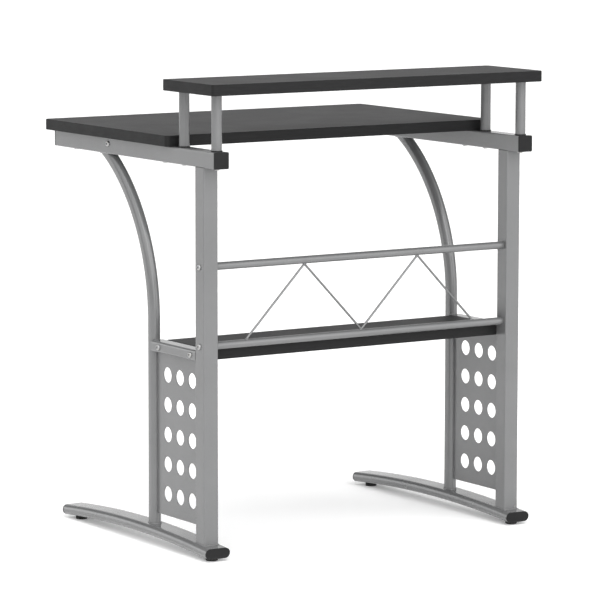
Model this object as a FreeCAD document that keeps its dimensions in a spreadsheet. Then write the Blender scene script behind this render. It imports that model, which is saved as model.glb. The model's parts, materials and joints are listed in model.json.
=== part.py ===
# Small computer desk: two welded steel side frames carry a worktop, a raised monitor shelf on
# four short posts and a lower shelf, and three round stretchers hold the sides apart.
#
# +X is the sitter's right, +Y points away from the sitter and +Z is up. The origin is on the
# floor under the middle of the desk's outline. Lengths are in millimetres, angles in degrees.

import FreeCAD
import Part
import Sketcher
import math
import os

DIMENSIONS = {
    # outline, which the worktop's front edge and the raised shelf's rear edge reach
    "desk_width": 711,
    "desk_depth": 609,
    # laminated boards; a height is that of the board's top face
    "board_thickness": 20,
    "board_corner": 7,
    "edge_band": 1.5,
    "edge_round": 0.8,
    "worktop_depth": 448.5,
    "worktop_height": 752,
    "raised_shelf_depth": 176.5,
    "raised_shelf_height": 852,
    "lower_shelf_width": 627,
    "lower_shelf_depth": 147,
    "lower_shelf_height": 375,
    # square tube of the top rails and the rear uprights
    "frame_x": 328.5,
    "tube_size": 30,
    "tube_wall": 1.5,
    "tube_corner": 2.5,
    "rail_middle_y": 0.5,
    "rail_length": 577,
    "upright_y": 236.5,
    # flat oval tube of the curved legs, straight at the foot and bent forwards above
    "leg_across": 20,
    "leg_depth": 25,
    "leg_y": 52.8,
    "leg_bend_height": 408,
    "leg_bend_radius": 347,
    "leg_bend_angle": 64,
    # flat oval tube of the feet, arched a little off the floor
    "foot_width": 50,
    "foot_thickness": 19,
    "foot_middle_y": 12.5,
    "foot_apex": 36.4,
    "foot_bend_radius": 2900,
    "foot_half_length": 259,
    # arm that joins each curved leg to its upright and carries the lower shelf
    "bracket_height": 20,
    "bracket_corner": 5,
    # sheet panel with three columns and five rows of round holes
    "panel_thickness": 2,
    "panel_bottom": 56.5,
    "panel_holes_y": 144.2,
    "panel_hole_radius": 14,
    "panel_column_pitch": 42.9,
    "panel_row_pitch": 54.5,
    # round posts of the raised shelf
    "post_radius": 9.5,
    "post_front_y": 161,
    "post_rear_y": 271.5,
    "post_washer_radius": 10.5,
    "post_washer_thickness": 2,
    # round stretchers, and the zigzag wire between the two rear ones
    "stretcher_radius": 7,
    "stretcher_nut_length": 20,
    "upper_stretcher_height": 525,
    "lower_stretcher_height": 383,
    "front_stretcher_y": -86,
    "front_stretcher_height": 720.5,
    "wire_radius": 2,
    "wire_bend_radius": 4,
    "wire_step": 123,
    # plastic caps and floor glides
    "cap_flange": 3,
    "cap_plug": 9,
    "cap_plug_wall": 2,
    "cap_plug_inner_corner": 0.8,
    "cap_clearance": 0.2,
    "cap_round": 1,
    "glide_radius": 11,
    "glide_blank_height": 10,
    "glide_stem_radius": 3.9,
    "glide_stem_start": 3,
    "glide_stem_top": 17,
    "glide_hole_radius": 4,
    "glide_hole_top": 18,
    "front_glide_y": -220.5,
    "rear_glide_y": 252.5,
    # fasteners: button head bolts of six millimetre thread, and threaded sleeves in the boards
    "bolt_radius": 3,
    "bolt_head_radius": 5.25,
    "bolt_head_height": 3.2,
    "bolt_head_round": 2.4,
    "bolt_socket": 2.3,
    "bolt_socket_depth": 1.8,
    "bolt_hole_radius": 3.3,
    "side_bolt_length": 45,
    "worktop_bolt_length": 40,
    "post_bolt_length": 142,
    "thread_hole_radius": 3.05,
    "insert_radius": 4.5,
    "insert_hole_radius": 4.6,
    "insert_length": 14,
    "shelf_insert_length": 18,
    "shelf_bolt_front_y": 93.5,
    "shelf_bolt_rear_y": 204.5,
    "worktop_bolt_front_y": -230,
    "worktop_bolt_rear_y": 95,
}

# Levels and lines that several pieces share.
RAIL_TOP = "(dims.worktop_height - dims.board_thickness)"
RAIL_UNDERSIDE = f"({RAIL_TOP} - dims.tube_size)"
RAIL_MIDDLE = f"({RAIL_TOP} - dims.tube_size / 2)"
RAIL_TUBE_LENGTH = "(dims.rail_length - 2 * dims.cap_flange)"
BRACKET_MIDDLE = "(dims.lower_shelf_height - dims.bracket_height / 2)"
LEG_REAR_Y = "(dims.leg_y + dims.leg_depth / 2)"
UPRIGHT_FRONT_Y = "(dims.upright_y - dims.tube_size / 2)"
BAY_MIDDLE_Y = f"(({LEG_REAR_Y} + {UPRIGHT_FRONT_Y}) / 2)"
BAY_DEPTH = f"({UPRIGHT_FRONT_Y} - {LEG_REAR_Y})"
FOOT_CENTRE_Z = "(dims.foot_apex - dims.foot_thickness / 2 - dims.foot_bend_radius)"
FOOT_TOP_RADIUS = "(dims.foot_bend_radius + dims.foot_thickness / 2)"
FOOT_BOTTOM_RADIUS = "(dims.foot_bend_radius - dims.foot_thickness / 2)"
FOOT_END_ANGLE = "asin(dims.foot_half_length / dims.foot_bend_radius)"
OUTER_FACE_X = "(dims.frame_x + dims.tube_size / 2)"
INNER_FACE_X = "(dims.frame_x - dims.tube_size / 2)"

POSTS_Y = ("dims.post_front_y", "dims.post_rear_y")
WORKTOP_BOLTS_Y = ("dims.worktop_bolt_front_y", "dims.worktop_bolt_rear_y")
SHELF_BOLTS_Y = ("dims.shelf_bolt_front_y", "dims.shelf_bolt_rear_y")

# Two lengths closer than this are the same length.
SAME = 1e-3

SIDES = {"left": -1, "right": 1}
ENDS = {"front": -1, "rear": 1}
X_AXIS = FreeCAD.Vector(1, 0, 0)
Y_AXIS = FreeCAD.Vector(0, 1, 0)
Z_AXIS = FreeCAD.Vector(0, 0, 1)
NO_TURN = FreeCAD.Rotation()
HEAD_DOWN = FreeCAD.Rotation(X_AXIS, 180)

doc = FreeCAD.newDocument("computer_desk")
sheet = doc.addObject("Spreadsheet::Sheet", "dims")
for number, (alias, size) in enumerate(DIMENSIONS.items(), start=1):
    sheet.set(f"A{number}", alias)
    sheet.set(f"B{number}", str(size))
    sheet.setAlias(f"B{number}", alias)
doc.recompute()

parts = []


# ---------------------------------------------------------------- document helpers


def value(formula):
    """What a formula over the sheet comes to, as a plain number."""
    result = sheet.evalExpression(formula)
    return float(getattr(result, "Value", result))


def bind_place(thing, x, y, z, turn=NO_TURN, holder="Placement"):
    """Turns a piece and ties its position to three formulas."""
    setattr(thing, holder, FreeCAD.Placement(FreeCAD.Vector(), turn))
    for letter, formula in zip("xyz", (x, y, z)):
        thing.setExpression(f"{holder}.Base.{letter}", formula)


def new_body(label, x="0", y="0", z="0", turn=NO_TURN):
    body = doc.addObject("PartDesign::Body", label)
    body.Label = label
    bind_place(body, x, y, z, turn)
    return body


def origin_item(body, role):
    """One of a body's own base planes or axes."""
    return next(item for item in body.Origin.OriginFeatures if item.Role == role)


def new_sketch(body, role, name, lift="0"):
    """A sketch on one of the body's base planes, lifted along the plane's normal."""
    sketch = body.newObject("Sketcher::SketchObject", name)
    sketch.AttachmentSupport = (origin_item(body, role), [""])
    sketch.MapMode = "FlatFace"
    sketch.setExpression("AttachmentOffset.Base.z", lift)
    return sketch


def bind_constraint(sketch, kind, *target, formula):
    """A dimension of the sketch, tied to a formula."""
    index = sketch.addConstraint(Sketcher.Constraint(kind, *target, value(formula)))
    sketch.setExpression(f"Constraints[{index}]", formula)


def locate(sketch, geometry, point, x, y):
    """Ties one point of the sketch to its distances from the sketch's origin."""
    for axis, kind, formula in ((-2, "DistanceX", x), (-1, "DistanceY", y)):
        if formula == "0":
            sketch.addConstraint(Sketcher.Constraint("PointOnObject", geometry, point, axis))
        else:
            bind_constraint(sketch, kind, -1, 1, geometry, point, formula=formula)


def add_arc(sketch, x, y, radius, first, last):
    circle = Part.Circle(FreeCAD.Vector(x, y, 0), Z_AXIS, radius)
    return sketch.addGeometry(Part.ArcOfCircle(circle, math.radians(first), math.radians(last)))


def add_line(sketch, x1, y1, x2, y2):
    start, end = FreeCAD.Vector(x1, y1, 0), FreeCAD.Vector(x2, y2, 0)
    return sketch.addGeometry(Part.LineSegment(start, end))


def circle(sketch, x, y, radius):
    centre = FreeCAD.Vector(value(x), value(y), 0)
    index = sketch.addGeometry(Part.Circle(centre, Z_AXIS, value(radius)))
    locate(sketch, index, 3, x, y)
    bind_constraint(sketch, "Radius", index, formula=radius)


def rectangle(sketch, left, bottom, right, top):
    """Sharp-cornered rectangle between two corners."""
    x1, y1, x2, y2 = (value(edge) for edge in (left, bottom, right, top))
    corners = [(x1, y1), (x2, y1), (x2, y2), (x1, y2)]
    lines = []
    for corner, following in zip(corners, corners[1:] + corners[:1]):
        lines.append(add_line(sketch, *corner, *following))
    for line, following in zip(lines, lines[1:] + lines[:1]):
        sketch.addConstraint(Sketcher.Constraint("Coincident", line, 2, following, 1))
    for line, kind in zip(lines, ("Horizontal", "Vertical", "Horizontal", "Vertical")):
        sketch.addConstraint(Sketcher.Constraint(kind, line))
    locate(sketch, lines[0], 1, left, bottom)
    locate(sketch, lines[2], 1, right, top)


def round_rectangle(sketch, width, height, radius):
    """Rectangle with round corners, centred on the sketch's origin."""
    half_w, half_h, r = value(f"{width} / 2"), value(f"{height} / 2"), value(radius)
    in_w, in_h = half_w - r, half_h - r
    lines = [
        add_line(sketch, -in_w, -half_h, in_w, -half_h),
        add_line(sketch, half_w, -in_h, half_w, in_h),
        add_line(sketch, in_w, half_h, -in_w, half_h),
        add_line(sketch, -half_w, in_h, -half_w, -in_h),
    ]
    arcs = [
        add_arc(sketch, in_w, -in_h, r, 270, 360),
        add_arc(sketch, in_w, in_h, r, 0, 90),
        add_arc(sketch, -in_w, in_h, r, 90, 180),
        add_arc(sketch, -in_w, -in_h, r, 180, 270),
    ]
    for line, arc, following in zip(lines, arcs, lines[1:] + lines[:1]):
        sketch.addConstraint(Sketcher.Constraint("Tangent", line, 2, arc, 1))
        sketch.addConstraint(Sketcher.Constraint("Tangent", arc, 2, following, 1))
    for line, kind in zip(lines, ("Horizontal", "Vertical", "Horizontal", "Vertical")):
        sketch.addConstraint(Sketcher.Constraint(kind, line))
    for arc in arcs[1:]:
        sketch.addConstraint(Sketcher.Constraint("Equal", arcs[0], arc))
    bind_constraint(sketch, "Radius", arcs[0], formula=radius)
    reach_x = f"({width} / 2 - {radius})"
    reach_y = f"({height} / 2 - {radius})"
    locate(sketch, arcs[1], 3, reach_x, reach_y)
    locate(sketch, arcs[3], 3, f"-{reach_x}", f"-{reach_y}")


def flat_oval(sketch, across, tall, middle="0"):
    """Flat-sided oval whose middle is at height `middle` on the sketch's vertical axis."""
    w, h, level = value(across), value(tall), value(middle)
    if w > h:
        reach, radius = f"({across} - {tall}) / 2", f"{tall} / 2"
        a, r = value(reach), h / 2
        lines = [
            add_line(sketch, -a, level - r, a, level - r),
            add_line(sketch, a, level + r, -a, level + r),
        ]
        arcs = [
            add_arc(sketch, a, level, r, 270, 450),
            add_arc(sketch, -a, level, r, 90, 270),
        ]
        places = [(reach, middle), (f"-({reach})", middle)]
    else:
        reach, radius = f"({tall} - {across}) / 2", f"{across} / 2"
        a, r = value(reach), w / 2
        lines = [
            add_line(sketch, r, level - a, r, level + a),
            add_line(sketch, -r, level + a, -r, level - a),
        ]
        arcs = [
            add_arc(sketch, 0, level + a, r, 0, 180),
            add_arc(sketch, 0, level - a, r, 180, 360),
        ]
        places = [("0", f"{middle} + {reach}"), ("0", f"{middle} - {reach}")]
    for line, arc, following in zip(lines, arcs, lines[::-1]):
        sketch.addConstraint(Sketcher.Constraint("Tangent", line, 2, arc, 1))
        sketch.addConstraint(Sketcher.Constraint("Tangent", arc, 2, following, 1))
    sketch.addConstraint(Sketcher.Constraint("Equal", *arcs))
    bind_constraint(sketch, "Radius", arcs[0], formula=radius)
    for arc, (x, y) in zip(arcs, places):
        locate(sketch, arc, 3, x, y)


def hexagon(sketch, radius):
    """Regular hexagon round the sketch's origin; radius is the distance to its corners."""
    size = value(radius)
    guide = sketch.addGeometry(Part.Circle(FreeCAD.Vector(), Z_AXIS, size), True)
    sketch.addConstraint(Sketcher.Constraint("Coincident", guide, 3, -1, 1))
    bind_constraint(sketch, "Radius", guide, formula=radius)
    corners = []
    for step in range(6):
        angle = math.radians(60 * step)
        corners.append((size * math.cos(angle), size * math.sin(angle)))
    lines = []
    for corner, following in zip(corners, corners[1:] + corners[:1]):
        lines.append(add_line(sketch, *corner, *following))
    for line, following in zip(lines, lines[1:] + lines[:1]):
        sketch.addConstraint(Sketcher.Constraint("Coincident", line, 2, following, 1))
        sketch.addConstraint(Sketcher.Constraint("PointOnObject", line, 1, guide))
    for line in lines[1:]:
        sketch.addConstraint(Sketcher.Constraint("Equal", lines[0], line))
    sketch.addConstraint(Sketcher.Constraint("PointOnObject", lines[0], 1, -1))


def pad(body, sketch, length, both_ways=False, backwards=False):
    feature = body.newObject("PartDesign::Pad", sketch.Name + "_pad")
    feature.Profile = sketch
    feature.setExpression("Length", length)
    feature.SideType = "Symmetric" if both_ways else "One side"
    feature.Reversed = backwards
    doc.recompute()
    return feature


def pocket(body, sketch, length=None, backwards=False):
    """Cuts a sketch out of the body: by a length, or with none, through all of it both ways."""
    before = body.Shape.Volume
    feature = body.newObject("PartDesign::Pocket", sketch.Name + "_cut")
    feature.Profile = sketch
    if length is None:
        feature.Type = "ThroughAll"
        feature.SideType = "Symmetric"
    else:
        feature.setExpression("Length", length)
    feature.Reversed = backwards
    doc.recompute()
    if body.Shape.Volume > before - SAME:
        raise RuntimeError(f"{feature.Label} cuts nothing from {body.Label}")
    return feature


def round_edges(body, feature, chosen, radius):
    """Rounds the edges of a feature that the function `chosen` picks, in the body's own frame."""
    names = []
    for number, edge in enumerate(feature.Shape.Edges, start=1):
        if chosen(edge):
            names.append(f"Edge{number}")
    fillet = body.newObject("PartDesign::Fillet", feature.Name + "_round")
    fillet.Base = (feature, names)
    fillet.setExpression("Radius", radius)
    doc.recompute()
    return fillet


def flat_at(axis, level):
    """Picks the edges that lie wholly in the plane where that axis has that value."""

    def test(edge):
        box = edge.BoundBox
        low, high = getattr(box, axis + "Min"), getattr(box, axis + "Max")
        return abs(low - level) < SAME and abs(high - level) < SAME

    return test


def copies(label, master, places):
    """One node of identical pieces: places are (x, y, z, turn), with formulas for x, y and z."""
    links = []
    for number, (x, y, z, turn) in enumerate(places, start=1):
        link = doc.addObject("App::Link", f"{label}_{number}")
        link.LinkedObject = master
        bind_place(link, x, y, z, turn, holder="LinkPlacement")
        links.append(link)
    group = doc.addObject("Part::Compound", label)
    group.Label = label
    group.Links = links
    parts.append(group)


def side_x(side, formula):
    """A distance from the middle, taken to the left or the right."""
    return formula if SIDES[side] > 0 else f"-{formula}"


def head_out(side):
    """Turns a bolt or sleeve that stands along +Z so that it points out of that side."""
    return FreeCAD.Rotation(Y_AXIS, 90 * SIDES[side])


# ---------------------------------------------------------------- boards


def banded_board(name, depth, middle_y, top, holes_y):
    """A full-width board and the plastic band round its edge.

    The board has holes for threaded sleeves in its underside, over both side frames.
    """
    underside = f"{top} - dims.board_thickness"
    core_width = "(dims.desk_width - 2 * dims.edge_band)"
    core_depth = f"({depth} - 2 * dims.edge_band)"
    core_corner = "(dims.board_corner - dims.edge_band)"

    body = new_body(name, y=middle_y, z=underside)
    outline = new_sketch(body, "XY_Plane", f"{name}_outline")
    round_rectangle(outline, core_width, core_depth, core_corner)
    pad(body, outline, "dims.board_thickness")
    holes = new_sketch(body, "XY_Plane", f"{name}_insert_holes")
    for side in SIDES:
        for hole_y in holes_y:
            x, y = side_x(side, "dims.frame_x"), f"{hole_y} - {middle_y}"
            circle(holes, x, y, "dims.insert_hole_radius")
    pocket(body, holes, "dims.insert_length", backwards=True)
    parts.append(body)

    band = new_body(f"{name}_edge_band", y=middle_y, z=underside)
    loop = new_sketch(band, "XY_Plane", f"{name}_band_loop")
    round_rectangle(loop, "dims.desk_width", depth, "dims.board_corner")
    round_rectangle(loop, core_width, core_depth, core_corner)
    strip = pad(band, loop, "dims.board_thickness")
    half_x, half_y = value(f"{core_width} / 2") + SAME, value(f"{core_depth} / 2") + SAME

    def outer_edge(edge):
        box = edge.BoundBox
        level = box.ZLength < SAME
        far = max(abs(box.YMin), abs(box.YMax)) > half_y
        wide = max(abs(box.XMin), abs(box.XMax)) > half_x
        return level and (far or wide)

    round_edges(band, strip, outer_edge, "dims.edge_round")
    parts.append(band)


def lower_shelf():
    """The lower shelf, which has a threaded sleeve hole at each bolt in both ends."""
    core_depth = "(dims.lower_shelf_depth - 2 * dims.edge_band)"
    middle_y = f"{UPRIGHT_FRONT_Y} - dims.lower_shelf_depth / 2"
    body = new_body("lower_shelf", y=middle_y, z=BRACKET_MIDDLE)
    outline = new_sketch(body, "XZ_Plane", "lower_shelf_section")
    half = "dims.lower_shelf_width / 2"
    thick = "dims.board_thickness / 2"
    rectangle(outline, f"-{half}", f"-{thick}", half, thick)
    pad(body, outline, core_depth, both_ways=True)
    for side in SIDES:
        holes = new_sketch(body, "YZ_Plane", f"{side}_end_holes", side_x(side, half))
        for hole_y in SHELF_BOLTS_Y:
            circle(holes, f"{hole_y} - ({middle_y})", "0", "dims.insert_hole_radius")
        pocket(body, holes, "dims.shelf_insert_length", backwards=side == "left")
    parts.append(body)

    strip = new_body("edge_strip")
    section = new_sketch(strip, "YZ_Plane", "edge_strip_section")
    rectangle(section, "0", f"-{thick}", "dims.edge_band", thick)
    solid = pad(strip, section, "dims.lower_shelf_width", both_ways=True)
    outer = value("dims.edge_band")

    def long_outer_edge(edge):
        box = edge.BoundBox
        return box.YMin > outer - SAME and box.XLength > outer

    round_edges(strip, solid, long_outer_edge, "dims.edge_round")
    inset = f"{core_depth} / 2"
    copies(
        "lower_shelf_edge_bands",
        strip,
        [
            ("0", f"{middle_y} + {inset}", BRACKET_MIDDLE, NO_TURN),
            ("0", f"{middle_y} - {inset}", BRACKET_MIDDLE, FreeCAD.Rotation(Z_AXIS, 180)),
        ],
    )


# ---------------------------------------------------------------- welded side frames


def hollow_rectangle(sketch, width, height, corner):
    round_rectangle(sketch, width, height, corner)
    wall = "2 * dims.tube_wall"
    inner = f"({corner} - dims.tube_wall)"
    round_rectangle(sketch, f"({width} - {wall})", f"({height} - {wall})", inner)


def hollow_oval(sketch, across, tall, middle):
    flat_oval(sketch, across, tall, middle)
    wall = "2 * dims.tube_wall"
    flat_oval(sketch, f"({across} - {wall})", f"({tall} - {wall})", middle)


def cut_off_at_foot(body, body_y, body_z):
    """Shapes the lower end of a tube to the arched top of the foot that it stands on."""
    arch = new_sketch(body, "YZ_Plane", f"{body.Label}_foot_arch")
    centre_y = f"dims.foot_middle_y - {body_y}"
    circle(arch, centre_y, f"{FOOT_CENTRE_Z} - {body_z}", FOOT_TOP_RADIUS)
    pocket(body, arch)


def top_rail(side):
    x = side_x(side, "dims.frame_x")
    body = new_body(f"{side}_top_rail", x, "dims.rail_middle_y", RAIL_MIDDLE)
    section = new_sketch(body, "XZ_Plane", f"{side}_rail_section")
    hollow_rectangle(section, "dims.tube_size", "dims.tube_size", "dims.tube_corner")
    pad(body, section, RAIL_TUBE_LENGTH, both_ways=True)
    down_holes = new_sketch(body, "XY_Plane", f"{side}_rail_bolt_holes")
    for bolt_y in WORKTOP_BOLTS_Y + POSTS_Y:
        circle(down_holes, "0", f"{bolt_y} - dims.rail_middle_y", "dims.bolt_hole_radius")
    pocket(body, down_holes)
    side_hole = new_sketch(body, "YZ_Plane", f"{side}_rail_side_hole")
    hole_y = "dims.front_stretcher_y - dims.rail_middle_y"
    hole_z = f"dims.front_stretcher_height - {RAIL_MIDDLE}"
    circle(side_hole, hole_y, hole_z, "dims.bolt_hole_radius")
    pocket(body, side_hole)
    parts.append(body)


def rear_upright(side):
    start = "(dims.foot_apex - dims.foot_thickness)"
    body = new_body(f"{side}_rear_upright", side_x(side, "dims.frame_x"), "dims.upright_y")
    section = new_sketch(body, "XY_Plane", f"{side}_upright_section", start)
    hollow_rectangle(section, "dims.tube_size", "dims.tube_size", "dims.tube_corner")
    pad(body, section, f"{RAIL_UNDERSIDE} - {start}")
    cut_off_at_foot(body, "dims.upright_y", "0")
    holes = new_sketch(body, "YZ_Plane", f"{side}_upright_bolt_holes")
    for height in ("dims.upper_stretcher_height", "dims.lower_stretcher_height"):
        circle(holes, "0", height, "dims.bolt_hole_radius")
    pocket(body, holes)
    parts.append(body)


def curved_leg(side):
    """The leg's own origin is the centre of its bend, so the bend turns about its X axis."""
    bend_y = "(dims.leg_y - dims.leg_bend_radius)"
    x = side_x(side, "dims.frame_x")
    body = new_body(f"{side}_curved_leg", x, bend_y, "dims.leg_bend_height")
    section = new_sketch(body, "XY_Plane", f"{side}_leg_section")
    hollow_oval(section, "dims.leg_across", "dims.leg_depth", "dims.leg_bend_radius")
    straight = "dims.leg_bend_height - (dims.foot_apex - dims.foot_thickness)"
    pad(body, section, straight, backwards=True)
    bend = body.newObject("PartDesign::Revolution", f"{side}_leg_bend")
    bend.Profile = section
    bend.ReferenceAxis = (origin_item(body, "X_Axis"), [""])
    bend.setExpression("Angle", "dims.leg_bend_angle")
    doc.recompute()
    cut_off_at_foot(body, bend_y, "dims.leg_bend_height")
    above = new_sketch(body, "YZ_Plane", f"{side}_leg_top_trim")
    level = f"{RAIL_UNDERSIDE} - dims.leg_bend_height"
    reach = "dims.leg_bend_radius + dims.leg_depth"
    rectangle(above, "0", level, reach, f"{level} + dims.leg_bend_radius")
    pocket(body, above)
    parts.append(body)


def foot_tube(side):
    """The foot's own origin is the centre of its arch, far below the floor."""
    x = side_x(side, "dims.frame_x")
    body = new_body(f"{side}_foot_tube", x, "dims.foot_middle_y", FOOT_CENTRE_Z)
    section = new_sketch(body, "XZ_Plane", f"{side}_foot_section")
    hollow_oval(section, "dims.foot_width", "dims.foot_thickness", "dims.foot_bend_radius")
    arch = body.newObject("PartDesign::Revolution", f"{side}_foot_arch")
    arch.Profile = section
    arch.ReferenceAxis = (origin_item(body, "X_Axis"), [""])
    arch.setExpression("Angle", f"2 * {FOOT_END_ANGLE}")
    arch.Midplane = True
    doc.recompute()
    floor_level = f"-{FOOT_CENTRE_Z}"
    holes = new_sketch(body, "XY_Plane", f"{side}_foot_stem_holes", floor_level)
    for end in ENDS:
        circle(holes, "0", f"dims.{end}_glide_y - dims.foot_middle_y", "dims.glide_hole_radius")
    pocket(body, holes, "dims.glide_hole_top", backwards=True)
    parts.append(body)


def shelf_bracket(side):
    """Closed at the front, where it is wider than the leg; the upright closes its rear end."""
    x = side_x(side, "dims.frame_x")
    body = new_body(f"{side}_shelf_bracket", x, BAY_MIDDLE_Y, BRACKET_MIDDLE)
    section = new_sketch(body, "XZ_Plane", f"{side}_bracket_section")
    hollow_rectangle(section, "dims.tube_size", "dims.bracket_height", "dims.bracket_corner")
    pad(body, section, BAY_DEPTH, both_ways=True)
    front = f"{BAY_DEPTH} / 2"
    end = new_sketch(body, "XZ_Plane", f"{side}_bracket_end", front)
    round_rectangle(end, "dims.tube_size", "dims.bracket_height", "dims.bracket_corner")
    pad(body, end, "dims.tube_wall", backwards=True)
    holes = new_sketch(body, "YZ_Plane", f"{side}_bracket_bolt_holes")
    for bolt_y in SHELF_BOLTS_Y:
        circle(holes, f"{bolt_y} - {BAY_MIDDLE_Y}", "0", "dims.bolt_hole_radius")
    pocket(body, holes)
    parts.append(body)


def perforated_panel(side):
    top = "(dims.lower_shelf_height - dims.bracket_height)"
    middle_z = f"(({top} + dims.panel_bottom) / 2)"
    x = side_x(side, "dims.frame_x")
    body = new_body(f"{side}_perforated_panel", x, BAY_MIDDLE_Y, middle_z)
    outline = new_sketch(body, "YZ_Plane", f"{side}_panel_outline")
    half_y = f"{BAY_DEPTH} / 2"
    half_z = f"({top} - dims.panel_bottom) / 2"
    rectangle(outline, f"-{half_y}", f"-{half_z}", half_y, half_z)
    for column in (-1, 0, 1):
        for row in (-2, -1, 0, 1, 2):
            y = f"dims.panel_holes_y - {BAY_MIDDLE_Y} + {column} * dims.panel_column_pitch"
            z = f"{row} * dims.panel_row_pitch" if row else "0"
            circle(outline, y, z, "dims.panel_hole_radius")
    pad(body, outline, "dims.panel_thickness", both_ways=True)
    parts.append(body)


# ---------------------------------------------------------------- plastic caps and glides


def end_cap(label, end, outline, width, height, corner, place, tilt=NO_TURN):
    """A cap whose flange covers the tube's end and whose hollow plug sits inside the tube."""
    body = new_body(label, *place, tilt)
    to_front = end == "front"
    flange = new_sketch(body, "XZ_Plane", f"{label}_flange")
    outline(flange, width, height, corner)
    disc = pad(body, flange, "dims.cap_flange", backwards=not to_front)
    plug = new_sketch(body, "XZ_Plane", f"{label}_plug")
    gap = "2 * (dims.tube_wall + dims.cap_clearance)"
    inside = f"{gap} + 2 * dims.cap_plug_wall"
    outline(plug, f"({width} - {gap})", f"({height} - {gap})", f"({corner} - dims.tube_wall)")
    inner_corner = "dims.cap_plug_inner_corner"
    outline(plug, f"({width} - ({inside}))", f"({height} - ({inside}))", inner_corner)
    outer_level = ENDS[end] * value("dims.cap_flange")
    round_edges(body, disc, flat_at("Y", outer_level), "dims.cap_round")
    pad(body, plug, "dims.cap_plug", backwards=to_front)
    parts.append(body)


def oval_outline(sketch, width, height, corner):
    """A flat oval needs no corner radius: its ends are half circles."""
    flat_oval(sketch, width, height)


def rail_caps(side):
    for end, sign in ENDS.items():
        y = f"dims.rail_middle_y + {sign} * {RAIL_TUBE_LENGTH} / 2"
        place = (side_x(side, "dims.frame_x"), y, RAIL_MIDDLE)
        size = "dims.tube_size"
        label = f"{side}_{end}_rail_cap"
        end_cap(label, end, round_rectangle, size, size, "dims.tube_corner", place)


def foot_caps(side):
    """The foot's ends are square to its arch, so the caps tip down by the arch's end angle."""
    for end, sign in ENDS.items():
        y = f"dims.foot_middle_y + {sign} * dims.foot_half_length"
        z = f"{FOOT_CENTRE_Z} + dims.foot_bend_radius * cos({FOOT_END_ANGLE})"
        place = (side_x(side, "dims.frame_x"), y, z)
        tilt = FreeCAD.Rotation(X_AXIS * -sign, value(FOOT_END_ANGLE))
        sizes = ("dims.foot_width", "dims.foot_thickness", "0")
        end_cap(f"{side}_{end}_foot_cap", end, oval_outline, *sizes, place, tilt)


def floor_glide(side, end):
    """A round pad shaped to the foot's underside, with a stem pushed into the foot."""
    label = f"{side}_{end}_floor_glide"
    glide_y = f"dims.{end}_glide_y"
    body = new_body(label, side_x(side, "dims.frame_x"), glide_y)
    disc = new_sketch(body, "XY_Plane", f"{label}_disc")
    circle(disc, "0", "0", "dims.glide_radius")
    button = pad(body, disc, "dims.glide_blank_height")
    round_edges(body, button, flat_at("Z", 0), "dims.cap_round")
    arch = new_sketch(body, "YZ_Plane", f"{label}_arch")
    for radius in (FOOT_BOTTOM_RADIUS, FOOT_TOP_RADIUS):
        circle(arch, f"dims.foot_middle_y - {glide_y}", FOOT_CENTRE_Z, radius)
    pocket(body, arch)
    stem = new_sketch(body, "XY_Plane", f"{label}_stem", "dims.glide_stem_start")
    circle(stem, "0", "0", "dims.glide_stem_radius")
    pad(body, stem, "dims.glide_stem_top - dims.glide_stem_start")
    parts.append(body)


# ---------------------------------------------------------------- round pieces


def sleeve(label, outer, bore, length, place=("0", "0", "0"), plane="XY_Plane"):
    """A round tube from the body's origin, or centred on it when it lies along X."""
    body = new_body(label, *place)
    ring = new_sketch(body, plane, f"{label}_ring")
    circle(ring, "0", "0", outer)
    circle(ring, "0", "0", bore)
    pad(body, ring, length, both_ways=plane == "YZ_Plane")
    return body


def shelf_posts():
    foot = f"{RAIL_TOP} + dims.post_washer_thickness"
    top = "dims.raised_shelf_height - dims.board_thickness"
    bore = "dims.post_radius - dims.tube_wall"
    for side in SIDES:
        for end in ENDS:
            place = (side_x(side, "dims.frame_x"), f"dims.post_{end}_y", foot)
            label = f"{side}_{end}_shelf_post"
            parts.append(sleeve(label, "dims.post_radius", bore, f"{top} - ({foot})", place))
    hole, thick = "dims.bolt_hole_radius", "dims.post_washer_thickness"
    washer = sleeve("post_washer", "dims.post_washer_radius", hole, thick)
    copies("post_washers", washer, frame_places(RAIL_TOP, NO_TURN, *POSTS_Y))


def frame_places(z, turn, *places_y):
    """The same places over both side frames, all at one height."""
    places = []
    for side in SIDES:
        for y in places_y:
            places.append((side_x(side, "dims.frame_x"), y, z, turn))
    return places


STRETCHERS = {
    "upper_stretcher": ("dims.upright_y", "dims.upper_stretcher_height"),
    "lower_stretcher": ("dims.upright_y", "dims.lower_stretcher_height"),
    "front_stretcher": ("dims.front_stretcher_y", "dims.front_stretcher_height"),
}


def stretchers():
    bore = "dims.stretcher_radius - dims.tube_wall"
    for label, (y, z) in STRETCHERS.items():
        sizes = ("dims.stretcher_radius", bore, f"2 * {INNER_FACE_X}")
        parts.append(sleeve(label, *sizes, ("0", y, z), "YZ_Plane"))
    outer = f"{bore} - dims.cap_clearance / 2"
    length = "dims.stretcher_nut_length"
    nut = sleeve("stretcher_nut", outer, "dims.thread_hole_radius", length)
    places = []
    for side in SIDES:
        for y, z in STRETCHERS.values():
            x = side_x(side, f"({INNER_FACE_X} - {length})")
            places.append((x, y, z, head_out(side)))
    copies("stretcher_end_nuts", nut, places)


# The bend's cut-back and the slope depend on each other, and settle in a few rounds.
SLOPE_ROUNDS = 4
# The wire's square-cut ends stay this far off the stretcher, so that the solids don't overlap.
WIRE_END_GAP = 0.05


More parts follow.
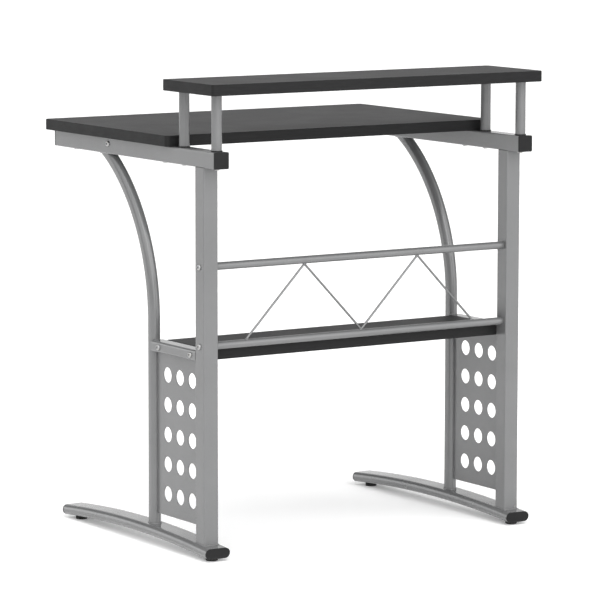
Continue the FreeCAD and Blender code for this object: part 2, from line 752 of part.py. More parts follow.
def lattice_wire():
    """A zigzag wire whose bends touch the underside of the upper stretcher and the top of the
    lower one. Its path is straight runs joined by tangent arcs, swept with a round section.
    """
    radius, bend, step = (
        value(f"dims.{name}") for name in ("wire_radius", "wire_bend_radius", "wire_step")
    )
    low = value("dims.lower_stretcher_height + dims.stretcher_radius")
    high = value("dims.upper_stretcher_height - dims.stretcher_radius")
    # A round bend stays inside the sharp corner of its two runs by `cut_back`.
    slope = math.atan2(high - low, step)
    for _ in range(SLOPE_ROUNDS):
        cut_back = bend * (1 / math.cos(slope) - 1)
        rise = high - low - 2 * radius + 2 * cut_back
        slope = math.atan2(rise, step)
    bottom, top = low + radius - cut_back, high - radius + cut_back
    corners = []
    for place in range(-2, 3):
        corners.append(FreeCAD.Vector(place * step, 0, top if place % 2 else bottom))
    # The two ends stop where the square-cut wire meets the stretcher.
    end_lift = low + radius * math.cos(slope) + WIRE_END_GAP - bottom
    run = (corners[1] - corners[0]).normalize()
    back = (corners[-2] - corners[-1]).normalize()
    start = corners[0] + run * (end_lift / run.z)
    finish = corners[-1] + back * (end_lift / back.z)

    edges, here = [], start
    for corner, following in zip(corners[1:-1], corners[2:]):
        into = (corner - here).normalize()
        onward = (following - corner).normalize()
        turn = into.getAngle(onward)
        tangent = bend * math.tan(turn / 2)
        first, last = corner - into * tangent, corner + onward * tangent
        inward = (onward - into).normalize()
        middle = corner + inward * (bend * (1 / math.cos(turn / 2) - 1))
        edges.append(Part.LineSegment(here, first).toShape())
        edges.append(Part.Arc(first, middle, last).toShape())
        here = last
    edges.append(Part.LineSegment(here, finish).toShape())
    path = Part.Wire(edges)
    profile = Part.Wire([Part.Circle(start, run, radius).toShape()])
    wire = doc.addObject("Part::Feature", "lattice_wire")
    wire.Label = "lattice_wire"
    wire.Shape = path.makePipeShell([profile], True, False)
    wire.Placement = FreeCAD.Placement(FreeCAD.Vector(0, value("dims.upright_y"), 0), NO_TURN)
    expected = math.pi * radius**2 * path.Length
    print(f"lattice wire volume / section times length: {wire.Shape.Volume / expected:.4f}")
    parts.append(wire)


# ---------------------------------------------------------------- fasteners


def bolt(label, length):
    """A button head bolt along +Z, its head's underside at the origin, with a hexagon socket."""
    body = new_body(label)
    head = new_sketch(body, "XY_Plane", f"{label}_head")
    circle(head, "0", "0", "dims.bolt_head_radius")
    disc = pad(body, head, "dims.bolt_head_height")
    top = flat_at("Z", value("dims.bolt_head_height"))
    round_edges(body, disc, top, "dims.bolt_head_round")
    shank = new_sketch(body, "XY_Plane", f"{label}_shank")
    circle(shank, "0", "0", "dims.bolt_radius")
    pad(body, shank, length, backwards=True)
    socket = new_sketch(body, "XY_Plane", f"{label}_socket", "dims.bolt_head_height")
    hexagon(socket, "dims.bolt_socket")
    pocket(body, socket, "dims.bolt_socket_depth")
    return body


def fasteners():
    side_bolt = bolt("side_bolt", "dims.side_bolt_length")
    stretcher_places, shelf_places, insert_places = [], [], []
    for side in SIDES:
        outer_face = side_x(side, OUTER_FACE_X)
        for y, z in STRETCHERS.values():
            stretcher_places.append((outer_face, y, z, head_out(side)))
        sleeve_x = side_x(side, "(dims.lower_shelf_width / 2 - dims.shelf_insert_length)")
        for y in SHELF_BOLTS_Y:
            shelf_places.append((outer_face, y, BRACKET_MIDDLE, head_out(side)))
            insert_places.append((sleeve_x, y, BRACKET_MIDDLE, head_out(side)))
    copies("stretcher_bolts", side_bolt, stretcher_places)
    copies("lower_shelf_bolts", side_bolt, shelf_places)

    worktop_bolt = bolt("worktop_bolt", "dims.worktop_bolt_length")
    worktop_places = frame_places(RAIL_UNDERSIDE, HEAD_DOWN, *WORKTOP_BOLTS_Y)
    copies("worktop_bolts", worktop_bolt, worktop_places)
    post_bolt = bolt("post_bolt", "dims.post_bolt_length")
    copies("shelf_post_bolts", post_bolt, frame_places(RAIL_UNDERSIDE, HEAD_DOWN, *POSTS_Y))

    hole = "dims.thread_hole_radius"
    long_insert = sleeve("long_insert", "dims.insert_radius", hole, "dims.shelf_insert_length")
    copies("lower_shelf_inserts", long_insert, insert_places)
    insert = sleeve("insert", "dims.insert_radius", hole, "dims.insert_length")
    copies("worktop_inserts", insert, frame_places(RAIL_TOP, NO_TURN, *WORKTOP_BOLTS_Y))
    underside = "dims.raised_shelf_height - dims.board_thickness"
    copies("raised_shelf_inserts", insert, frame_places(underside, NO_TURN, *POSTS_Y))


# ---------------------------------------------------------------- the whole desk

WORKTOP_Y = "((dims.worktop_depth - dims.desk_depth) / 2)"
RAISED_SHELF_Y = "((dims.desk_depth - dims.raised_shelf_depth) / 2)"
banded_board(
    "worktop", "dims.worktop_depth", WORKTOP_Y, "dims.worktop_height", WORKTOP_BOLTS_Y
)
banded_board(
    "raised_shelf", "dims.raised_shelf_depth", RAISED_SHELF_Y, "dims.raised_shelf_height", POSTS_Y
)
lower_shelf()
for frame_side in SIDES:
    top_rail(frame_side)
    rear_upright(frame_side)
    curved_leg(frame_side)
    foot_tube(frame_side)
    shelf_bracket(frame_side)
    perforated_panel(frame_side)
    rail_caps(frame_side)
    foot_caps(frame_side)
    for foot_end in ENDS:
        floor_glide(frame_side, foot_end)
shelf_posts()
stretchers()
lattice_wire()
fasteners()
doc.recompute()

for item in doc.Objects:
    if "Invalid" in item.State or "Error" in item.State:
        raise RuntimeError(f"{item.Label} failed: {item.State}")
for piece in parts:
    if piece.Shape.isNull() or not piece.Shape.isValid():
        raise RuntimeError(f"{piece.Label} has no valid shape")

os.makedirs("parts", exist_ok=True)
for piece in parts:
    piece.Shape.exportStep(f"parts/{piece.Label}.step")
print(f"{len(parts)} nodes written")
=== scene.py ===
# Looks of the small computer desk: powder-coated steel frames, black laminated boards,
# moulded plastic caps and zinc-plated bolts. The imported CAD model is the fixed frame. In geometry
# this script adds the welding, which is beads, tacks and blobs where tubes and wire meet, and
# rounds the cut edges of the two sheet metal panels a little. Lengths are in metres.

import json
import math
import random

import bmesh
import bpy
from mathutils import Euler, Matrix, Vector
from mathutils.bvhtree import BVHTree


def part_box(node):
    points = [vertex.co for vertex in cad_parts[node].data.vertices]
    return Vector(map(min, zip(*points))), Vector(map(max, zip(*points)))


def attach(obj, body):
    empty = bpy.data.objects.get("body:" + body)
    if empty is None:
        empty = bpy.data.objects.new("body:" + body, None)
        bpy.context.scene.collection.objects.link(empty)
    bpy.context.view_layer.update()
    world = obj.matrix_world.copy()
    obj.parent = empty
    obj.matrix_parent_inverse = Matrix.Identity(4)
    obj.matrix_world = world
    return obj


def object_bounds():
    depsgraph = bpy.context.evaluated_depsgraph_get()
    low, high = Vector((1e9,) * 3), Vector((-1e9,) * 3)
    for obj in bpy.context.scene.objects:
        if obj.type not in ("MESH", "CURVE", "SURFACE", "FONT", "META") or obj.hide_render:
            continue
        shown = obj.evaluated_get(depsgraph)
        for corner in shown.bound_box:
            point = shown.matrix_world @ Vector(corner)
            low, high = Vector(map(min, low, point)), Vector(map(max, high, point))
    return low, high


SIDES = ("left", "right")
MM = 0.001
WHITE = (1, 1, 1, 1)

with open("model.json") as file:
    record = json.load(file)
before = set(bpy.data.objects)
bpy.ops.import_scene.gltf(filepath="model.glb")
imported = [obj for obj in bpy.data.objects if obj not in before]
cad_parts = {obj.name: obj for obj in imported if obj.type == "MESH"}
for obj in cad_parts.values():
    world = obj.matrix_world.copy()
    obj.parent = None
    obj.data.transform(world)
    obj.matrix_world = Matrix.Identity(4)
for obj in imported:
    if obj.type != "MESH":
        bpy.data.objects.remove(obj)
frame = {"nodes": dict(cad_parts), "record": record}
cad_low, cad_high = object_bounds()
nodes = frame["nodes"]


# ---------------------------------------------------------------- camera


def aim(azimuth, elevation, roll=0.0):
    """Rotation that looks from that azimuth and elevation, in degrees, at the desk.

    At azimuth 0 it looks along +Y, at the desk's front, and at 90 along -X.
    """
    pitch = math.radians(90 - elevation)
    return Euler((pitch, 0, math.radians(azimuth))).to_matrix() @ Matrix.Rotation(
        math.radians(roll), 3, "Z"
    )


# The camera stands behind the desk's right end, a little above it, with a long lens.
VIEW_AZIMUTH = 147.2935
VIEW_ELEVATION = 7.3744
VIEW_ROLL = 0.072
VIEW_DISTANCE = 6.9883
VIEW_TARGET = Vector((-0.0184, 0.0125, 0.4176))
LENS = 223.996
SENSOR = 36.0
SHIFT_X = -0.0052
CLIP_END = 200


def make_camera():
    data = bpy.data.cameras.new("camera")
    data.lens = LENS
    data.sensor_width = SENSOR
    data.shift_x = SHIFT_X
    data.clip_end = CLIP_END
    camera = bpy.data.objects.new("camera", data)
    turn = aim(VIEW_AZIMUTH, VIEW_ELEVATION, VIEW_ROLL)
    back = turn @ Vector((0, 0, 1))
    camera.matrix_world = Matrix.Translation(VIEW_TARGET + back * VIEW_DISTANCE) @ turn.to_4x4()
    bpy.context.collection.objects.link(camera)
    bpy.context.scene.camera = camera


# ---------------------------------------------------------------- node tree helper


class Nodes:
    """A material's node tree, with one short method for each kind of node it uses."""

    def __init__(self, name):
        self.material = bpy.data.materials.new(name)
        self.material.use_nodes = True
        self.tree = self.material.node_tree
        self.tree.nodes.clear()
        self.shader = self.tree.nodes.new("ShaderNodeBsdfPrincipled")
        output = self.tree.nodes.new("ShaderNodeOutputMaterial")
        self.join(self.shader.outputs["BSDF"], output.inputs["Surface"])
        self.place = self.tree.nodes.new("ShaderNodeTexCoord").outputs["Object"]

    def join(self, source, target):
        self.tree.links.new(source, target)

    def add(self, kind, **settings):
        node = self.tree.nodes.new(kind)
        for key, setting in settings.items():
            setattr(node, key, setting)
        return node

    def stretched(self, scale):
        """The place on the object, scaled by its own factor along X, Y and Z."""
        node = self.add("ShaderNodeMapping")
        node.inputs["Scale"].default_value = scale
        self.join(self.place, node.inputs["Vector"])
        return node.outputs["Vector"]

    def noise(self, scale, detail=3.0, roughness=0.55, place=None):
        node = self.add("ShaderNodeTexNoise")
        node.inputs["Scale"].default_value = scale
        node.inputs["Detail"].default_value = detail
        node.inputs["Roughness"].default_value = roughness
        self.join(place or self.place, node.inputs["Vector"])
        return node.outputs["Fac"]

    def cells(self, scale, feature="F1"):
        node = self.add("ShaderNodeTexVoronoi", feature=feature)
        node.inputs["Scale"].default_value = scale
        self.join(self.place, node.inputs["Vector"])
        return node.outputs["Distance"]

    def spread(self, source, low, high, new_low=0.0, new_high=1.0):
        """Stretches the values from low to high over new_low to new_high, and clamps them."""
        node = self.add("ShaderNodeMapRange", interpolation_type="SMOOTHSTEP")
        node.inputs["From Min"].default_value = low
        node.inputs["From Max"].default_value = high
        node.inputs["To Min"].default_value = new_low
        node.inputs["To Max"].default_value = new_high
        self.join(source, node.inputs["Value"])
        return node.outputs["Result"]

    def combine(self, kind, first, second):
        """A Math node on two values, of which the second may be a plain number."""
        node = self.add("ShaderNodeMath", operation=kind)
        self.join(first, node.inputs[0])
        if isinstance(second, float):
            node.inputs[1].default_value = second
        else:
            self.join(second, node.inputs[1])
        return node.outputs["Value"]

    def blend(self, share, first, second):
        """Mixes two colours, each a socket or an RGB value, with that share of the second."""
        node = self.add("ShaderNodeMix", data_type="RGBA")
        sockets = [socket for socket in node.inputs if socket.type == "RGBA"]
        for socket, colour in zip(sockets, (first, second)):
            if isinstance(colour, bpy.types.NodeSocket):
                self.join(colour, socket)
            else:
                socket.default_value = (*colour, 1)
        self.join(share, node.inputs["Factor"])
        return next(socket for socket in node.outputs if socket.type == "RGBA")

    def height_along_z(self):
        node = self.add("ShaderNodeSeparateXYZ")
        self.join(self.place, node.inputs["Vector"])
        return node.outputs["Z"]

    def facing(self, axis):
        """How far the surface faces along an axis: 0 square to it, 1 straight along it."""
        node = self.add("ShaderNodeSeparateXYZ")
        geometry = self.add("ShaderNodeNewGeometry")
        self.join(geometry.outputs["Normal"], node.inputs["Vector"])
        return self.combine("MULTIPLY", node.outputs[axis], node.outputs[axis])

    def bumps(self, *layers):
        """Chains bumps, each (height source, depth in metres), onto the shader's normal."""
        normal = None
        for height, depth in layers:
            node = self.add("ShaderNodeBump")
            node.inputs["Strength"].default_value = 1.0
            node.inputs["Distance"].default_value = depth
            self.join(height, node.inputs["Height"])
            if normal:
                self.join(normal, node.inputs["Normal"])
            normal = node.outputs["Normal"]
        self.join(normal, self.shader.inputs["Normal"])

    def constants(self, **sockets):
        """Sets sockets of the shader that are the same all over the surface."""
        for name, setting in sockets.items():
            self.shader.inputs[name.replace("_", " ")].default_value = setting

    def finish(self, colour, roughness):
        self.join(colour, self.shader.inputs["Base Color"])
        self.join(roughness, self.shader.inputs["Roughness"])
        return self.material


# ---------------------------------------------------------------- materials


def silver_paint():
    """Satin silver powder coat: orange peel, fine metallic grain, faint rubs and dusty feet."""
    deep, pale = (0.131, 0.132, 0.1335), (0.148, 0.1491, 0.1507)
    grain_tone, fleck_tone = (0.170, 0.171, 0.173), (0.208, 0.208, 0.211)
    film_tone = (0.13, 0.128, 0.123)
    film_low, film_high = 0.012, 0.10
    peel_depth, grain_depth = 0.000026, 0.000004

    made = Nodes("silver_paint_look")
    grain = made.noise(2600, 2, 0.7)
    flecks = made.spread(made.cells(1900), 0.05, 0.5)
    clouds = made.noise(9, 4)
    base = made.blend(made.spread(clouds, 0.3, 0.7), deep, pale)
    base = made.blend(made.spread(grain, 0.35, 0.75), base, grain_tone)
    base = made.blend(made.spread(flecks, 0.0, 1.0, 0.18, 0.0), base, fleck_tone)
    # Shoes rub the feet and leave a dull, slightly darker film low on the frame.
    low = made.spread(made.height_along_z(), film_low, film_high, 1.0, 0.0)
    patches = made.spread(made.noise(38, 5, 0.65), 0.48, 0.72)
    film = made.combine("MULTIPLY", low, patches)
    base = made.blend(made.combine("MULTIPLY", film, 0.14), base, film_tone)
    rubs = made.spread(made.noise(60, 6, 0.7, made.stretched((1, 1, 7))), 0.68, 0.76)
    roughness = made.spread(made.noise(14, 4), 0.25, 0.75, 0.21, 0.26)
    roughness = made.combine("ADD", roughness, made.combine("MULTIPLY", film, 0.05))
    roughness = made.combine("SUBTRACT", roughness, made.combine("MULTIPLY", rubs, 0.02))
    peel = made.noise(420, 2, 0.45)
    made.bumps((peel, peel_depth), (grain, grain_depth))
    made.constants(Metallic=0.25, IOR=1.5, Coat_Weight=0.10, Coat_Roughness=0.16)
    return made.finish(base, roughness)


def black_laminate():
    """Black melamine laminate with a fine pearl texture, and hands' faint polish on it."""
    deep, pale = (0.0085, 0.0085, 0.0088), (0.0110, 0.0110, 0.0114)
    fine_tone, dust_tone = (0.019, 0.019, 0.0195), (0.05, 0.049, 0.047)
    pearl_depth, fine_depth = 0.00005, 0.000015

    made = Nodes("black_laminate_look")
    pearl = made.cells(1500, "SMOOTH_F1")
    fine = made.noise(3200, 2, 0.6)
    clouds = made.noise(6, 5)
    base = made.blend(made.spread(clouds, 0.3, 0.7), deep, pale)
    base = made.blend(made.spread(fine, 0.4, 0.8, 0.0, 0.6), base, fine_tone)
    dust = made.spread(made.noise(700, 3, 0.7), 0.66, 0.74, 0.0, 0.35)
    settled = made.combine("MULTIPLY", dust, made.facing("Z"))
    base = made.blend(settled, base, dust_tone)
    polish = made.spread(made.noise(11, 5, 0.6), 0.35, 0.7)
    wipes = made.spread(made.noise(25, 5, 0.6, made.stretched((1, 6, 1))), 0.55, 0.75)
    roughness = made.spread(polish, 0.0, 1.0, 0.60, 0.57)
    roughness = made.combine("SUBTRACT", roughness, made.combine("MULTIPLY", wipes, 0.015))
    made.bumps((pearl, pearl_depth), (fine, fine_depth))
    made.constants(IOR=1.45)
    return made.finish(base, roughness)


def black_edge_band():
    """Plastic edging: faint drawn lines, and a paler line of wear and painted highlight on its
    rounded edges.
    """
    deep, pale = (0.0135, 0.0135, 0.0138), (0.0170, 0.0170, 0.0174)
    wear_and_highlight_tone = (0.028, 0.0275, 0.027)
    line_depth, fine_depth = 0.00003, 0.000015

    made = Nodes("black_edge_band_look")
    lines = made.noise(900, 2, 0.5, made.stretched((0.05, 0.05, 1)))
    fine = made.noise(2600, 2, 0.6)
    base = made.blend(made.spread(lines, 0.3, 0.7), deep, pale)
    # The rounded edges get a paler colour in patches: partly wear, partly a painted highlight where
    # they catch the light.
    faces_up = made.facing("Z")
    not_upright = made.spread(faces_up, 0.08, 0.4)
    not_level = made.spread(faces_up, 0.6, 0.95, 1.0, 0.0)
    rounded = made.combine("MULTIPLY", not_upright, not_level)
    wear_and_highlight_patches = made.spread(made.noise(45, 6, 0.7), 0.42, 0.66)
    base = made.blend(made.combine("MULTIPLY", rounded, wear_and_highlight_patches), base, wear_and_highlight_tone)
    roughness = made.spread(made.noise(30, 4), 0.3, 0.7, 0.40, 0.50)
    made.bumps((lines, line_depth), (fine, fine_depth))
    made.constants(IOR=1.19)
    return made.finish(base, roughness)


def black_plastic():
    """Moulded caps, washers and glides: spark-eroded grain, scuffed where they meet the floor."""
    deep, pale = (0.009, 0.009, 0.0093), (0.012, 0.012, 0.0123)
    scuff_tone = (0.06, 0.059, 0.056)
    scuff_low, scuff_high = 0.001, 0.012
    grain_depth, pit_depth = 0.00008, 0.00003

    made = Nodes("black_plastic_look")
    grain = made.noise(1400, 3, 0.7)
    pits = made.cells(2200)
    clouds = made.noise(40, 4)
    base = made.blend(made.spread(clouds, 0.3, 0.7), deep, pale)
    low = made.spread(made.height_along_z(), scuff_low, scuff_high, 1.0, 0.0)
    scuffs = made.combine("MULTIPLY", low, made.spread(made.noise(260, 5, 0.7), 0.45, 0.7))
    base = made.blend(scuffs, base, scuff_tone)
    roughness = made.spread(grain, 0.3, 0.7, 0.42, 0.56)
    made.bumps((grain, grain_depth), (pits, pit_depth))
    made.constants(IOR=1.26)
    return made.finish(base, roughness)


def zinc_steel():
    """Bright zinc plating with a faint yellow-blue cast and fine turning marks."""
    blue, yellow = (0.36, 0.365, 0.38), (0.42, 0.41, 0.385)
    mark_tone = (0.28, 0.28, 0.285)
    mark_depth = 0.00001

    made = Nodes("zinc_steel_look")
    cast = made.noise(220, 3)
    base = made.blend(made.spread(cast, 0.35, 0.65), blue, yellow)
    marks = made.noise(3600, 2, 0.6, made.stretched((0.2, 1, 1)))
    base = made.blend(made.spread(marks, 0.45, 0.8, 0.0, 0.5), base, mark_tone)
    roughness = made.spread(made.noise(500, 4), 0.3, 0.7, 0.20, 0.36)
    made.bumps((marks, mark_depth))
    made.constants(Metallic=1.0)
    return made.finish(base, roughness)


LOOKS = {
    "silver_paint": silver_paint,
    "black_laminate": black_laminate,
    "black_edge_band": black_edge_band,
    "black_plastic": black_plastic,
    "zinc_steel": zinc_steel,
}


def dress_nodes():
    """Gives every CAD node the look of its material slot, and returns the looks."""
    looks = {name: build() for name, build in LOOKS.items()}
    for part in frame["record"]["subparts"]:
        for slot in nodes[part["node"]].material_slots:
            slot.material = looks[part["material_slot"]]
    return looks


SAME_POINT = 0.001 * MM
CUT_EDGE_WIDTH = 0.3 * MM
CUT_EDGE_ANGLE = math.radians(50)


def soften_cut_edges(node):
    """Rounds the sharp cut edges of sheet metal a little, so that they catch the light."""
    join = nodes[node].modifiers.new("join", "WELD")
    join.merge_threshold = SAME_POINT
    bevel = nodes[node].modifiers.new("cut_edges", "BEVEL")
    bevel.width = CUT_EDGE_WIDTH
    bevel.segments = 2
    bevel.limit_method = "ANGLE"
    bevel.angle_limit = CUT_EDGE_ANGLE
    bevel.harden_normals = True


# ---------------------------------------------------------------- weld beads

RING_POINTS = 10
BEAD_STEP = 0.7 * MM
RIPPLE_PITCH = 2.1 * MM
RIPPLE_DEPTH = 0.16
BEAD_JITTER = 0.03
TAPER_POWER = 8
TAPER_END = 0.05
FEWEST_STEPS = 4
ROUNDING = 1e-9
WELD_SEEDS = {"left": 11, "right": 12}

# Radii of the beads.
TUBE_BEAD = 1.7 * MM
UPRIGHT_BEAD = 1.6 * MM
BRACKET_BEAD = 1.5 * MM
LEG_SIDE_BEAD = 2.2 * MM
TACK_BEAD = 1.1 * MM

# Where the beads are, measured from the nodes that they join.
SLICE_ABOVE_TUBE_END = 12 * MM
DROP_FROM = 20 * MM
LEG_SLICE_BELOW_RAIL = 0.3 * MM
TUBE_CORNER_INSET = 3 * MM
BRACKET_CORNER_INSET = 5 * MM
LEG_BEAD_SPREAD = 6.2 * MM
LEG_BEAD_FORWARD = 1.2 * MM
LEG_BEAD_INSET = 1 * MM
TACK_LENGTH = 7 * MM
TACK_JITTER = 1.5 * MM
SIDE_TACKS = (0.06, 0.28, 0.50, 0.72, 0.94)
TOP_TACKS = (0.22, 0.78)

# Where the wire meets a stretcher, as a share of half its length, and whether it's the upper one.
WIRE_JOINTS = ((-1, False), (-0.5, True), (0, False), (0.5, True), (1, False))
WIRE_END_INSET = 1.5 * MM
WIRE_BLOB = (4.2 * MM, 2.6 * MM, 2.0 * MM)


def resampled(points, closed):
    """Points at even spacing along a polyline."""
    path = [Vector(point) for point in points]
    if closed:
        path.append(path[0])
    runs = [(end - start).length for start, end in zip(path, path[1:])]
    total = sum(runs)
    count = max(FEWEST_STEPS, round(total / BEAD_STEP))
    spots = []
    for number in range(count if closed else count + 1):
        along = total * number / count
        for start, end, run in zip(path, path[1:], runs):
            if along <= run + ROUNDING:
                spots.append(start.lerp(end, along / run))
                break
            along -= run
    return spots


def add_bead(mesh, points, radius, chance, closed=False):
    """Adds one rippled bead of weld along the points; open beads taper at both ends."""
    spots = resampled(points, closed)
    count = len(spots)
    phase = chance.uniform(0, math.pi)
    rings = []
    for number, spot in enumerate(spots):
        before = spots[number - 1] if number or closed else spot
        after = spots[(number + 1) % count] if number + 1 < count or closed else spot
        along = (after - before).normalized()
        side = along.orthogonal().normalized()
        up = along.cross(side)
        ripple = abs(math.sin(math.pi * number * BEAD_STEP / RIPPLE_PITCH + phase))
        jitter = chance.uniform(-BEAD_JITTER, BEAD_JITTER)
        size = radius * (1 - RIPPLE_DEPTH * ripple + jitter)
        if not closed:
            share = 2 * number / (count - 1) - 1
            size *= math.sqrt(max(TAPER_END, 1 - share**TAPER_POWER))
        ring = []
        for step in range(RING_POINTS):
            angle = 2 * math.pi * step / RING_POINTS
            offset = side * math.cos(angle) + up * math.sin(angle)
            ring.append(mesh.verts.new(spot + offset * size))
        rings.append(ring)
    pairs = list(zip(rings, rings[1:]))
    if closed:
        pairs.append((rings[-1], rings[0]))
    for first, second in pairs:
        # Neighbouring rings may start at different angles, so the nearest points are matched.
        shift = min(range(RING_POINTS), key=lambda step: (second[step].co - first[0].co).length)
        for step in range(RING_POINTS):
            following = (step + 1) % RING_POINTS
            mesh.faces.new(
                (
                    first[step],
                    first[following],
                    second[(following + shift) % RING_POINTS],
                    second[(step + shift) % RING_POINTS],
                )
            )
    if not closed:
        mesh.faces.new(rings[0][::-1])
        mesh.faces.new(rings[-1])


def add_blob(mesh, centre, sizes):
    """Adds a rounded lump of weld, an ellipsoid with those three radii."""
    place = Matrix.Translation(centre) @ Matrix.Diagonal((*sizes, 1))
    bmesh.ops.create_icosphere(mesh, subdivisions=3, radius=1.0, matrix=place)


def weld_piece(name, mesh, looks):
    """Turns gathered beads into one piece in the paint of the frame."""
    bmesh.ops.recalc_face_normals(mesh, faces=mesh.faces)
    data = bpy.data.meshes.new(name)
    mesh.to_mesh(data)
    mesh.free()
    data.materials.append(looks["silver_paint"])
    data.polygons.foreach_set("use_smooth", [True] * len(data.polygons))
    piece = bpy.data.objects.new(name, data)
    bpy.context.collection.objects.link(piece)
    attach(piece, "root")


def outline(node, point, normal):
    """The outer outline of a node where a plane cuts it, as points in order."""
    mesh = bmesh.new()
    mesh.from_mesh(nodes[node].data)
    bmesh.ops.remove_doubles(mesh, verts=mesh.verts, dist=SAME_POINT)
    everything = mesh.verts[:] + mesh.edges[:] + mesh.faces[:]
    cut = bmesh.ops.bisect_plane(mesh, geom=everything, plane_co=point, plane_no=normal)
    edges = [item for item in cut["geom_cut"] if isinstance(item, bmesh.types.BMEdge)]
    links = {}
    for edge in edges:
        for vert in edge.verts:
            links.setdefault(vert, []).append(edge)
    loops = []
    seen = set()
    for edge in edges:
        if edge in seen:
            continue
        vert, loop = edge.verts[0], []
        while edge is not None and edge not in seen:
            seen.add(edge)
            loop.append(vert.co.copy())
            vert = edge.other_vert(vert)
            edge = next((other for other in links[vert] if other not in seen), None)
        loops.append(loop)
    mesh.free()

    def length(loop):
        return sum((end - start).length for start, end in zip(loop, loop[1:]))

    return max(loops, key=length)


def tree_of(node):
    """A node's surface, for finding the point under or beside another point."""
    data = nodes[node].data
    return BVHTree.FromPolygons(
        [vert.co for vert in data.vertices], [poly.vertices for poly in data.polygons]
    )


def dropped(points, tree):
    """The points moved straight down onto a surface."""
    lift = Vector((0, 0, DROP_FROM))
    down = Vector((0, 0, -1))
    return [tree.ray_cast(point + lift, down)[0] for point in points]


def side_welds(side, looks):
    """The welds of one side frame: tubes to foot, rail and bracket, and the panel's tacks."""
    chance = random.Random(WELD_SEEDS[side])
    mesh = bmesh.new()
    foot, rail = f"{side}_foot_tube", f"{side}_top_rail"
    upright, leg = f"{side}_rear_upright", f"{side}_curved_leg"
    bracket, panel = f"{side}_shelf_bracket", f"{side}_perforated_panel"
    foot_surface = tree_of(foot)
    up = Vector((0, 0, 1))

    # Tubes that stand on the foot have a bead all round.
    for tube in (upright, leg):
        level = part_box(tube)[0].z + SLICE_ABOVE_TUBE_END
        ring = outline(tube, Vector((0, 0, level)), up)
        add_bead(mesh, dropped(ring, foot_surface), TUBE_BEAD, chance, closed=True)

    # The leg is welded all round under the rail.
    under_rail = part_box(rail)[0].z
    ring = outline(leg, Vector((0, 0, under_rail - LEG_SLICE_BELOW_RAIL)), up)
    add_bead(mesh, ring, TUBE_BEAD, chance, closed=True)

    # The upright is as wide as the rail, so only its front and rear have a bead.
    low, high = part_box(upright)
    left, right = low.x + TUBE_CORNER_INSET, high.x - TUBE_CORNER_INSET
    for y in (low.y, high.y):
        ends = ((left, y, under_rail), (right, y, under_rail))
        add_bead(mesh, ends, UPRIGHT_BEAD, chance)

    # The bracket is welded above and below to the upright, and upright along the leg.
    low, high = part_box(bracket)
    left, right = low.x + BRACKET_CORNER_INSET, high.x - BRACKET_CORNER_INSET
    for z in (low.z, high.z):
        add_bead(mesh, ((left, high.y, z), (right, high.y, z)), BRACKET_BEAD, chance)
    leg_low, leg_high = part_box(leg)
    middle_x = (leg_low.x + leg_high.x) / 2
    y = low.y - LEG_BEAD_FORWARD
    bottom, top = low.z + LEG_BEAD_INSET, high.z - LEG_BEAD_INSET
    for x in (middle_x - LEG_BEAD_SPREAD, middle_x + LEG_BEAD_SPREAD):
        add_bead(mesh, ((x, y, bottom), (x, y, top)), LEG_SIDE_BEAD, chance)

    # The panel has short tacks on both faces, along its sides and its top edge.
    low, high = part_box(panel)
    half = TACK_LENGTH / 2
    for x in (low.x, high.x):
        for share in SIDE_TACKS:
            middle = low.z + share * (high.z - low.z)
            for y in (low.y, high.y):
                z = middle + chance.uniform(-TACK_JITTER, TACK_JITTER)
                add_bead(mesh, ((x, y, z - half), (x, y, z + half)), TACK_BEAD, chance)
        for share in TOP_TACKS:
            y = low.y + share * (high.y - low.y)
            ends = ((x, y - half, high.z), (x, y + half, high.z))
            add_bead(mesh, ends, TACK_BEAD, chance)
    weld_piece(f"{side}_frame_welds", mesh, looks)


def lattice_welds(looks):
    """Spots of weld where the wire's bends and ends meet the two round stretchers."""
    mesh = bmesh.new()
    wire_low, wire_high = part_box("lattice_wire")
    upper_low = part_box("upper_stretcher")[0]
    lower_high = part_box("lower_stretcher")[1]
    middle_y = (wire_low.y + wire_high.y) / 2
    half = wire_high.x - WIRE_END_INSET
    for share, at_upper in WIRE_JOINTS:
        z = upper_low.z if at_upper else lower_high.z
        add_blob(mesh, Vector((share * half, middle_y, z)), WIRE_BLOB)
    weld_piece("lattice_welds", mesh, looks)


# ---------------------------------------------------------------- studio


FLOOR_RADIUS = 60

# The floor gives off a little light of its own, so that it stays white.
FLOOR_GLOW = 0.16


def make_floor():
    """A plain pale floor that runs far behind the desk."""
    deep, pale = (0.93, 0.93, 0.93), (0.95, 0.95, 0.95)
    grit_depth = 0.00002
    made = Nodes("floor_look")
    clouds = made.noise(1.4, 3)
    colour = made.blend(made.spread(clouds, 0.3, 0.7), deep, pale)
    roughness = made.spread(made.noise(3, 3), 0.3, 0.7, 0.85, 0.95)
    made.bumps((made.noise(300, 2), grit_depth))
    made.constants(IOR=1.2, Emission_Color=WHITE, Emission_Strength=FLOOR_GLOW)
    material = made.finish(colour, roughness)
    mesh = bmesh.new()
    bmesh.ops.create_circle(mesh, cap_ends=True, segments=96, radius=FLOOR_RADIUS)
    data = bpy.data.meshes.new("floor")
    mesh.to_mesh(data)
    mesh.free()
    data.materials.append(material)
    floor = bpy.data.objects.new("floor", data)
    bpy.context.collection.objects.link(floor)


# Broad soft panels in the sky: azimuth and elevation in degrees, the cosines of the angle from
# the panel's middle at which it starts and is full, and how bright it is.
SKY_PANELS = (
    (327, 2, 0.80, 0.985, 1.02),
    (30, 12, 0.94, 0.990, 2.30),
    (185, 18, 0.45, 0.95, 2.45),
    (95, 50, 0.50, 0.96, 1.50),
    (147, 90, 0.60, 0.95, 0.20),
)
SKY_BASE = 0.07


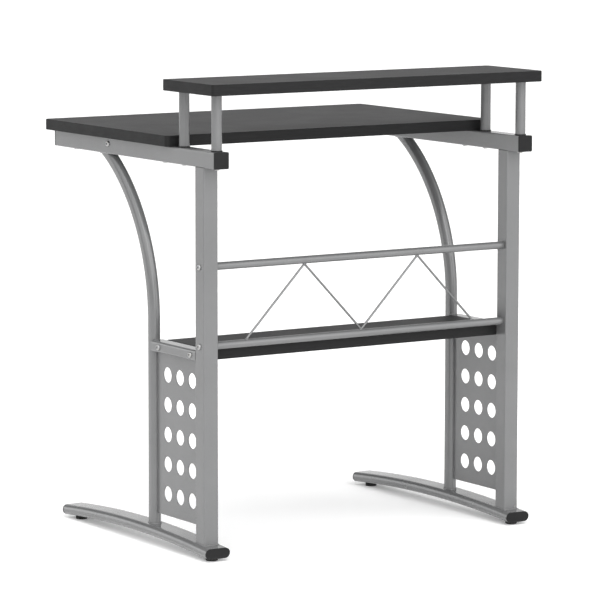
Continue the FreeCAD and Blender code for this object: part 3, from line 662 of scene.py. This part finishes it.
def make_sky():
    """Even white light from all round, with broad soft panels of brighter light in it."""
    world = bpy.data.worlds.new("studio")
    bpy.context.scene.world = world
    world.use_nodes = True
    tree = world.node_tree
    tree.nodes.clear()
    place = tree.nodes.new("ShaderNodeTexCoord")
    total = None
    for azimuth, elevation, edge, full, level in SKY_PANELS:
        along = tree.nodes.new("ShaderNodeVectorMath")
        along.operation = "DOT_PRODUCT"
        along.inputs[1].default_value = aim(azimuth, elevation) @ Vector((0, 0, 1))
        tree.links.new(place.outputs["Generated"], along.inputs[0])
        panel = tree.nodes.new("ShaderNodeMapRange")
        panel.interpolation_type = "SMOOTHSTEP"
        panel.inputs["From Min"].default_value = edge
        panel.inputs["From Max"].default_value = full
        panel.inputs["To Min"].default_value = 0.0 if total else SKY_BASE
        panel.inputs["To Max"].default_value = level if total else SKY_BASE + level
        tree.links.new(along.outputs["Value"], panel.inputs["Value"])
        if total:
            adder = tree.nodes.new("ShaderNodeMath")
            adder.operation = "ADD"
            tree.links.new(total, adder.inputs[0])
            tree.links.new(panel.outputs["Result"], adder.inputs[1])
            total = adder.outputs["Value"]
        else:
            total = panel.outputs["Result"]
    back = tree.nodes.new("ShaderNodeBackground")
    back.inputs["Color"].default_value = WHITE
    out = tree.nodes.new("ShaderNodeOutputWorld")
    tree.links.new(total, back.inputs["Strength"])
    tree.links.new(back.outputs["Background"], out.inputs["Surface"])


# Softboxes: azimuth and elevation, distance from the desk's middle, side and power in watts.
SOFTBOXES = {
    "top_softbox": (140, 88, 3.2, 3.6, 30),
    "rear_softbox": (175, 30, 4.0, 2.4, 25),
    "side_softbox": (100, 24, 4.0, 2.4, 6),
}


def area_light(name, azimuth, elevation, distance, size, power):
    """A square softbox that shines at the desk's middle from that direction."""
    data = bpy.data.lights.new(name, "AREA")
    data.shape = "SQUARE"
    data.size = size
    data.energy = power
    light = bpy.data.objects.new(name, data)
    turn = aim(azimuth, elevation)
    middle = (cad_low + cad_high) / 2
    light.matrix_world = (
        Matrix.Translation(middle + turn @ Vector((0, 0, distance))) @ turn.to_4x4()
    )
    bpy.context.collection.objects.link(light)


# ---------------------------------------------------------------- the whole desk

make_camera()
make_floor()
make_sky()
for name, setting in SOFTBOXES.items():
    area_light(name, *setting)
bpy.context.scene.view_settings.view_transform = "Standard"

looks = dress_nodes()
for side in SIDES:
    soften_cut_edges(f"{side}_perforated_panel")
    side_welds(side, looks)
lattice_welds(looks)
